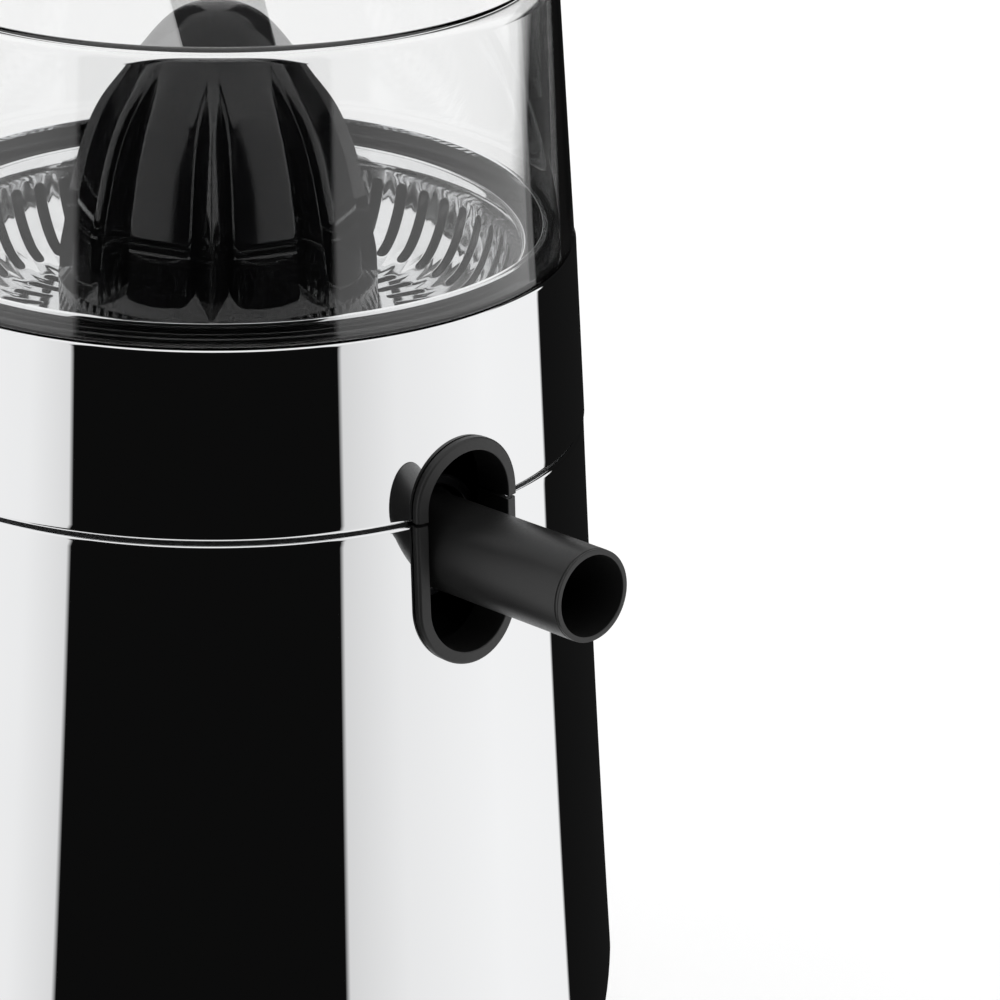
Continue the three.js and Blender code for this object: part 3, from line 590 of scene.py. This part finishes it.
def strainer():
    """The slotted sheet, from its hub over the floor and up the bulging wall, and its rolled rim."""
    floor = STRAINER_FLOOR
    hub = rounded([(17, -11, 0.5), (17.6, -13.5), (18.4, floor, 1.6), (45.5, floor), (53, floor)], step=6)
    wall_points = [(54, floor), (57, -26.0), (61.8, -24.4), (65.9, -21.3), (68.7, -16.8), (70.45, -12)]
    wall_points += [(71.4, -6.5), (72.1, -2.6), (72.6, -1.6)]
    path = np.concatenate([hub, spline(wall_points, 48)])
    lengths = np.concatenate([[0], np.cumsum(np.linalg.norm(np.diff(path, axis=0), axis=1))])

    def at(s):
        return np.interp(s, lengths, path[:, 0]), np.interp(s, lengths, path[:, 1])

    def where(radius):
        """Distance along the path at which it reaches a radius, past the hub."""
        late = path[:, 0] > 19
        return float(np.interp(radius, path[late, 0], lengths[late]))

    def place(s, angle):
        r, z = at(s)
        return np.stack([r * np.cos(angle), r * np.sin(angle), z + RIM], -1)

    ring = np.arange(SLOTS * COLUMNS) * PITCH / COLUMNS
    shapes = []

    def plain(start, end, rows):
        """A band of the path without slots."""
        s, angle = np.meshgrid(np.linspace(start, end, rows), ring, indexing="ij")
        shapes.append((place(s, angle).reshape(-1, 3), grid_faces(rows, len(ring), False, True)))

    def slotted(start, end, low, high, half, shift, rows=14):
        """A band of the path with one obround slot in each pitch."""
        k = np.linspace(0, 1, COLUMNS + 1)[:-1]
        n = np.linspace(0, 1, rows + 1)[:-1]
        box = np.concatenate(
            [
                np.stack([start + 0 * k, (k - 0.5) * PITCH], -1),
                np.stack([start + (end - start) * n, 0 * n + PITCH / 2], -1),
                np.stack([end + 0 * k, (0.5 - k) * PITCH], -1),
                np.stack([end + (start - end) * n, 0 * n - PITCH / 2], -1),
            ]
        )
        loops = [box]
        for grow in (0.55, 0.2, 0.0):
            h = half + grow
            first, last = low + half, high - half
            low_end = np.stack([first - h * np.sin(np.pi * k), -h * np.cos(np.pi * k)], -1)
            right = np.stack([first + (last - first) * n, h + 0 * n], -1)
            high_end = np.stack([last + h * np.sin(np.pi * k), h * np.cos(np.pi * k)], -1)
            left = np.stack([last + (first - last) * n, 0 * n - h], -1)
            loop = np.concatenate([low_end, right, high_end, left])
            loop[:, 1] /= at(loop[:, 0])[0]
            loops.append(loop)
        count = len(box)
        flat = np.concatenate(loops)
        faces = grid_faces(len(loops), count, False, True)
        for i in range(SLOTS):
            shapes.append((place(flat[:, 0], flat[:, 1] + (i + shift) * PITCH), faces))

    floor_in, floor_out = where(FLOOR_SLOT[0]), where(FLOOR_SLOT[1])
    wall_in, wall_out = where(WALL_SLOT[0]), where(WALL_SLOT[1])
    middle = (floor_out + wall_in) / 2
    plain(0, floor_in - FLAT, 26)
    slotted(floor_in - FLAT, middle, floor_in, floor_out, FLOOR_SLOT[2], 0.0)
    slotted(middle, wall_out + BRIM, wall_in, wall_out, WALL_SLOT[2], 0.5)
    plain(wall_out + BRIM, lengths[-1], 12)
    made = piece("strainer", shapes, "base", "sieve_steel", ["sieve"], closed=False)
    thicken(made, 0.7, bevel=0.12, sharp=35)
    even_shading(made)
    around = np.linspace(0, 2 * np.pi, 17)[:-1]
    bead = np.stack([np.cos(around), np.sin(around)], -1) * RIM_BEAD_R + RIM_BEAD
    piece("strainer_rim", [turned(bead)], "base", "sieve_steel")


strainer()


# ---------------------------------------------------------------- pressing cone
FRONT_FIN = math.radians(-132)
FINS = 8
CONE_BASE = -22.5
SKIRT_R = 38
SKIRT_TOP = -9.5  # the fins run into a round skirt here
FINS_END = 46  # the fins have run out into the dome here
CONE_TURNS = 1440  # segments round the cone
PANEL = math.radians(10.8)  # half the angle of a lobe's flat middle
RIB_PITCH = math.radians(1.25)
RIBS_END = math.radians(10), math.radians(11.5)


def ease(value, low, high):
    """0 below `low`, 1 above `high`, smooth between."""
    t = np.clip((value - low) / (high - low), 0, 1)
    return t * t * (3 - 2 * t)


def blend_max(a, b, fillet):
    """The larger of two surfaces, with a small fillet where they meet."""
    near = np.maximum(fillet - np.abs(a - b), 0) / fillet
    return np.maximum(a, b) + near**2 * fillet / 4


def heights(points):
    """A smooth function of height through (height, value) pairs."""
    curve = spline(points, 400)
    return lambda z: np.interp(z, curve[:, 0], curve[:, 1])


def cone():
    """Rounded lobes between fins, ribbed at the foot, over a flared skirt."""
    lobe_line = [(33.4, CONE_BASE), (33.4, SKIRT_TOP), (33.4, -2), (33.3, 6), (32.1, 12), (30.2, 20)]
    lobe_line += [(28.0, 26.6), (25.5, 32), (22.2, 37.2), (17.6, 43.6), (14.4, 47.6), (11.6, 50.4)]
    lobe_line += [(8.4, 52.5), (4.4, 53.8), (0.01, 54.2)]
    curve = spline(lobe_line, 600)
    arc = np.concatenate([[0], np.cumsum(np.linalg.norm(np.diff(curve, axis=0), axis=1))])
    flange_start, step_end = np.interp([-11, 5.5], curve[:, 1], arc)
    rows = [np.linspace(0, flange_start, 4)[:-1], np.linspace(flange_start, step_end, 84)[:-1]]
    rows = np.concatenate([*rows, np.linspace(step_end, arc[-1], 96)])
    lobe = np.interp(rows, arc, curve[:, 0])[:, None]
    z = np.interp(rows, arc, curve[:, 1])[:, None]

    angle = np.arange(CONE_TURNS) * 2 * np.pi / CONE_TURNS
    pitch = 2 * np.pi / FINS
    off_fin = np.abs((angle + pitch / 2) % pitch - pitch / 2)[None, :]
    off_lobe = pitch / 2 - off_fin

    # The fins: the radius of their crests and half their width, by height.
    crest_line = [(CONE_BASE, SKIRT_R), (SKIRT_TOP, SKIRT_R), (-4.5, 37.7), (-0.5, 36.9), (4.4, 36.1)]
    crest_line += [(14, 34.05), (19.9, 32.5), (26.6, 30), (32, 27.1), (37.2, 23.1), (43.9, 17.8)]
    crest_line += [(48, 14.4), (54.5, 6)]
    crest = heights(crest_line)(z)
    half_line = [(CONE_BASE, 4.2), (-4, 4.2), (10, 3.5), (26, 2.7), (36, 1.8), (41, 1.1), (45.5, 0.1)]
    half = np.maximum(heights([*half_line, (54.5, 0.1)])(z), 0.1)

    # The lobes: a flat middle whose edges drop towards the fins, a step above the foot, and ribs below it.
    fade = 1 - ease(z, 28, 46)
    drop = 2.0 * fade + 0.6 * (1 - ease(z, -2, 6))
    edge = pitch / 2 - np.minimum(half / lobe, 0.12)
    step = 0.3 * (1 - ease(z, 3.4, 3.65))
    ribs = 0.13 * (1 - ease(z, 0.5, 2.5)) * (0.5 - 0.5 * np.cos(off_lobe / RIB_PITCH * 2 * np.pi))
    ribs *= 1 - ease(off_lobe, *RIBS_END)
    flatness = 0.35 * fade * lobe * np.minimum(off_lobe, PANEL) ** 2
    past_panel = np.maximum(off_lobe - PANEL, 0) / (edge - PANEL)
    pad = 1.9 * np.clip((3.4 - z) / 11.5, 0, 1) * (1 - (off_lobe / edge) ** 2)
    body = lobe + step + pad + flatness - drop * past_panel**2 - ribs

    valley = lobe + 0.35 * fade * lobe * PANEL**2 - drop
    rise = np.maximum(crest - valley, 0)
    across = np.sqrt((off_fin * lobe) ** 2 + 0.12**2)
    fin = np.where(z < FINS_END, valley + rise * (1 - across / half), 0)
    radius = blend_max(body, fin, 0.25)
    flange = np.interp(z, [-10.6, -3.9, 1], [SKIRT_R, 30, 30])
    radius = np.where(z < 0.8, blend_max(radius, flange, 0.12), radius)
    radius = np.maximum(radius, 0.0)

    turn = angle + FRONT_FIN
    verts = np.stack([radius * np.cos(turn), radius * np.sin(turn), z + RIM + 0 * turn], -1).reshape(-1, 3)
    outside = (verts, grid_faces(len(rows), len(angle), False, True))
    under = [(SKIRT_R, CONE_BASE), (34.5, CONE_BASE, 1), (34.5, -13.5, 2), (29.2, -8, 2), (26.5, 10, 2)]
    under = rounded([*under, (21, 25, 3), (0.01, 25)])
    inside = turned(under[::-1], closed=False)
    piece("pressing_cone", [outside, inside], "press", "cone_black", ["cone"], closed=False, sharp=60)


cone()


# ---------------------------------------------------------------- lid
LID_FOOT = 0.3
LID_TOP = 66.5
LID_CEILING = 64.8


def lid():
    """One clear wall that tapers and thins upwards, closed by a flat top."""
    profile = rounded(
        [
            (81.6, LID_FOOT, 0.5),
            (84.38, LID_FOOT, 0.5),
            (79.18, LID_TOP, 3.8),
            (0.01, LID_TOP),
            (0.01, LID_CEILING),
            (77.77, LID_CEILING, 2.2),
        ],
        closed=True,
        step=6,
    )
    made = piece("clear_lid", [turned(profile, segments=360)], "lid", "lid_clear", ["lid"])
    even_shading(made)


lid()


# ---------------------------------------------------------------- base
FOOT_CIRCLE = 80
GLAND_HEIGHT = 20


def foot(name, node, bearing):
    """A rubber foot with a groove in its sole and a plug into the base cover."""
    profile = rounded(
        [(0.01, -2.5), (5.2, -2.5, 0.4), (5.6, -1.9, 0.3), (6.4, -1.9, 0.3), (6.8, -2.5, 0.4)]
        + [(9, -2.5, 0.6), (9, -0.3, 0.5), (3, -0.3), (3, 2.2, 0.4), (0.01, 2.2)],
    )
    place = Matrix.Rotation(math.radians(bearing), 4, "Z") @ Matrix.Translation((FOOT_CIRCLE, 0, 0))
    shape = moved(turned(profile, closed=False, segments=64, lift=0), place)
    piece(name, [shape], "base", "rubber", [node])


for number in range(4):
    foot(f"rubber_foot_{number + 1}", f"foot_{number + 1}", 45 + 90 * number)


def gland():
    """The cable's rubber gland at the back."""
    profile = rounded(
        [(3.6, -7), (5.2, -7, 0.4), (5.2, 0.4), (8, 0.4, 0.5), (7.8, 2.0, 0.4), (7.3, 2.3, 0.2)]
        + [(7.4, 3.2, 0.3), (6.9, 4.5, 0.5), (3.6, 4.5, 0.5)],
        closed=True,
    )
    wall_r = float(housing_radius(RIM - GLAND_HEIGHT))
    place = Matrix.Translation((0, wall_r + 0.2, GLAND_HEIGHT)) @ Matrix.Rotation(-math.pi / 2, 4, "X")
    shape = moved(turned(profile, segments=72, lift=0), place)
    made = piece("cable_gland", [shape], "base", "rubber", ["cord_gland"])
    even_shading(made)


gland()


# ---------------------------------------------------------------- carried CAD nodes
for entry in frame["record"]["subparts"]:
    cad = frame["nodes"][entry["node"]]
    if cad.hide_render:
        continue
    slot = entry["material_slot"]
    cad.data.materials.clear()
    cad.data.materials.append(finishes[slot])


# ---------------------------------------------------------------- studio
scene = bpy.context.scene

TURN = math.radians(39.5)  # the camera's bearing round the juicer, from the spout
YAW, PITCH_DOWN, ROLL = 0.0648, 0.3777, 0.0169
CAMERA_AWAY, CAMERA_UP = 1.04669, 0.34673  # metres from the juicer's axis and above its rim
LENS, SENSOR = 167.18, 36

# Light of the walls, by bearing in degrees: 0 is towards the camera, 90 to its right.
WALLS = [
    (-180, 0.95),
    (-173, 0.95),
    (-172, 0.006),
    (-128, 0.006),
    (-126.5, 0.93),
    (-90, 0.95),
    (-60, 0.90),
    (-45.6, 0.75),
    (-45.2, 0.004),
    (37.4, 0.004),
    (37.8, 0.72),
    (56, 0.88),
    (90, 0.97),
    (120.2, 0.95),
    (120.8, 0.006),
    (172, 0.01),
    (173, 0.95),
    (180, 0.95),
]
# Share of the plain ceiling and ground, by height in degrees.
OPEN = [(-90, 1.0), (-58, 1.0), (-48, 0.0), (41, 0.0), (44, 1.0), (90, 1.0)]
CEILING = 0.93
# Below this height the edges of the front panel lean outwards, by this much per degree.
LEAN_BELOW = 15
LEAN_MEAN, LEAN_BY_BEARING = 0.504, -0.00543
# The dark gap behind: its middle height and reach, half its width, its slant and how dark it is.
GAP_HEIGHT, GAP_REACH, GAP_HALF, GAP_DARK = 16, 5, 0.6, 0.97
GAP_SLANT, GAP_UPRIGHT = 0.26, 15.5


def camera():
    """A long lens, a little above the lid."""
    spin = Matrix.Rotation(-TURN, 3, "Z")
    reach = math.cos(PITCH_DOWN)
    ahead = Vector((math.sin(YAW) * reach, math.cos(YAW) * reach, -math.sin(PITCH_DOWN)))
    level = Vector((math.cos(YAW), -math.sin(YAW), 0))
    upright = level.cross(ahead)
    right = math.cos(ROLL) * level + math.sin(ROLL) * upright
    up = math.cos(ROLL) * upright - math.sin(ROLL) * level
    axes = Matrix((spin @ right, spin @ up, spin @ -ahead)).transposed()
    place = spin @ Vector((0, -CAMERA_AWAY, CAMERA_UP)) + Vector((0, 0, RIM * MM))
    data = bpy.data.cameras.new("camera")
    data.sensor_width = SENSOR
    data.lens = LENS
    made = bpy.data.objects.new("camera", data)
    made.matrix_world = Matrix.Translation(place) @ axes.to_4x4()
    scene.collection.objects.link(made)
    scene.camera = made
    data.clip_start, data.clip_end = 0.05, 50


camera()


def studio():
    """White walls with black panels: one in front of the juicer and one at each side behind it."""
    world = bpy.data.worlds.new("studio")
    scene.world = world
    world.use_nodes = True
    nodes, links = world.node_tree.nodes, world.node_tree.links
    nodes.clear()

    def math_node(operation, *values):
        node = nodes.new("ShaderNodeMath")
        node.operation = operation
        for socket, value in zip(node.inputs, values):
            if isinstance(value, (int, float)):
                socket.default_value = value
            else:
                links.new(value, socket)
        return node.outputs[0]

    def dot(vector, axis):
        node = nodes.new("ShaderNodeVectorMath")
        node.operation = "DOT_PRODUCT"
        links.new(vector, node.inputs[0])
        node.inputs[1].default_value = axis
        return node.outputs["Value"]

    def ramp(value, stops):
        node = nodes.new("ShaderNodeValToRGB")
        points = node.color_ramp.elements
        while len(points) < len(stops):
            points.new(0.5)
        for point, (position, level) in zip(points, stops):
            point.position = position
            point.color = (level, level, level, 1)
        links.new(value, node.inputs["Fac"])
        return node.outputs["Color"]

    way = nodes.new("ShaderNodeTexCoord").outputs["Generated"]
    right = dot(way, (math.cos(TURN), -math.sin(TURN), 0))
    front = dot(way, (-math.sin(TURN), -math.cos(TURN), 0))
    up = dot(way, (0, 0, 1))
    bearing = math_node("MULTIPLY", math_node("ARCTAN2", right, front), 180 / math.pi)
    rise = math_node("MULTIPLY", math_node("ARCSINE", up), 180 / math.pi)

    lean = math_node("MINIMUM", math_node("ADD", rise, LEAN_BELOW), 0)
    facing = math_node("GREATER_THAN", front, 0)
    drift = math_node("MULTIPLY", lean, math_node("MULTIPLY_ADD", bearing, LEAN_BY_BEARING, LEAN_MEAN))
    drift = math_node("MULTIPLY", drift, facing)
    leant = math_node("SUBTRACT", bearing, drift)
    around = ramp(
        math_node("ADD", math_node("MULTIPLY", leant, 1 / 360), 0.5),
        [((angle + 180) / 360, level) for angle, level in WALLS],
    )
    open_above = ramp(
        math_node("ADD", math_node("MULTIPLY", rise, 1 / 180), 0.5),
        [((angle + 90) / 180, level) for angle, level in OPEN],
    )
    mix = nodes.new("ShaderNodeMix")
    mix.data_type = "RGBA"
    links.new(open_above, mix.inputs["Factor"])
    links.new(around, mix.inputs["A"])
    mix.inputs["B"].default_value = (*grey(CEILING), 1)

    # A narrow dark gap between the walls behind, above the horizon.
    back = math_node("MULTIPLY", front, -1)
    aside = math_node("MULTIPLY", math_node("ARCTAN2", right, back), 180 / math.pi)
    slant = math_node("MULTIPLY_ADD", rise, GAP_SLANT, -GAP_SLANT * GAP_UPRIGHT)
    off_gap = math_node("ABSOLUTE", math_node("SUBTRACT", aside, slant))
    behind = math_node("LESS_THAN", off_gap, GAP_HALF)
    level = math_node("COMPARE", rise, GAP_HEIGHT, GAP_REACH)
    gap = math_node("MULTIPLY", behind, level)
    lit = nodes.new("ShaderNodeBackground")
    links.new(mix.outputs["Result"], lit.inputs["Color"])
    links.new(math_node("SUBTRACT", 1, math_node("MULTIPLY", gap, GAP_DARK)), lit.inputs["Strength"])

    # The camera itself sees plain white.
    plain = nodes.new("ShaderNodeBackground")
    plain.inputs["Color"].default_value = (1, 1, 1, 1)
    path = nodes.new("ShaderNodeLightPath")
    choose = nodes.new("ShaderNodeMixShader")
    links.new(path.outputs["Is Camera Ray"], choose.inputs["Fac"])
    links.new(lit.outputs["Background"], choose.inputs[1])
    links.new(plain.outputs["Background"], choose.inputs[2])
    out = nodes.new("ShaderNodeOutputWorld")
    links.new(choose.outputs["Shader"], out.inputs["Surface"])


studio()


FLOOR_HALF = 6.0  # metres


def floor():
    """Pale paper under the feet."""
    mesh = bpy.data.meshes.new("floor")
    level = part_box("foot_1")[0].z
    corners = [(x * FLOOR_HALF, y * FLOOR_HALF, level) for x, y in ((-1, -1), (1, -1), (1, 1), (-1, 1))]
    mesh.from_pydata(corners, [], [(0, 1, 2, 3)])
    made = bpy.data.objects.new("floor", mesh)
    scene.collection.objects.link(made)
    f = Finish("floor_paper", grey(0.6), 0.9)
    f.vary_colour(f.noise(3, 2), 0.004)
    f.shader.inputs["Specular IOR Level"].default_value = 0.0
    f.shader.inputs["Emission Color"].default_value = (1, 1, 1, 1)
    f.shader.inputs["Emission Strength"].default_value = 0.62
    mesh.materials.append(f.material)
    made.visible_glossy = False
    made.visible_transmission = False


floor()

scene.view_settings.view_transform = "Standard"
scene.view_settings.look = "None"
scene.cycles.max_bounces = 24
scene.cycles.transmission_bounces = 16
scene.cycles.glossy_bounces = 8
scene.cycles.transparent_max_bounces = 16
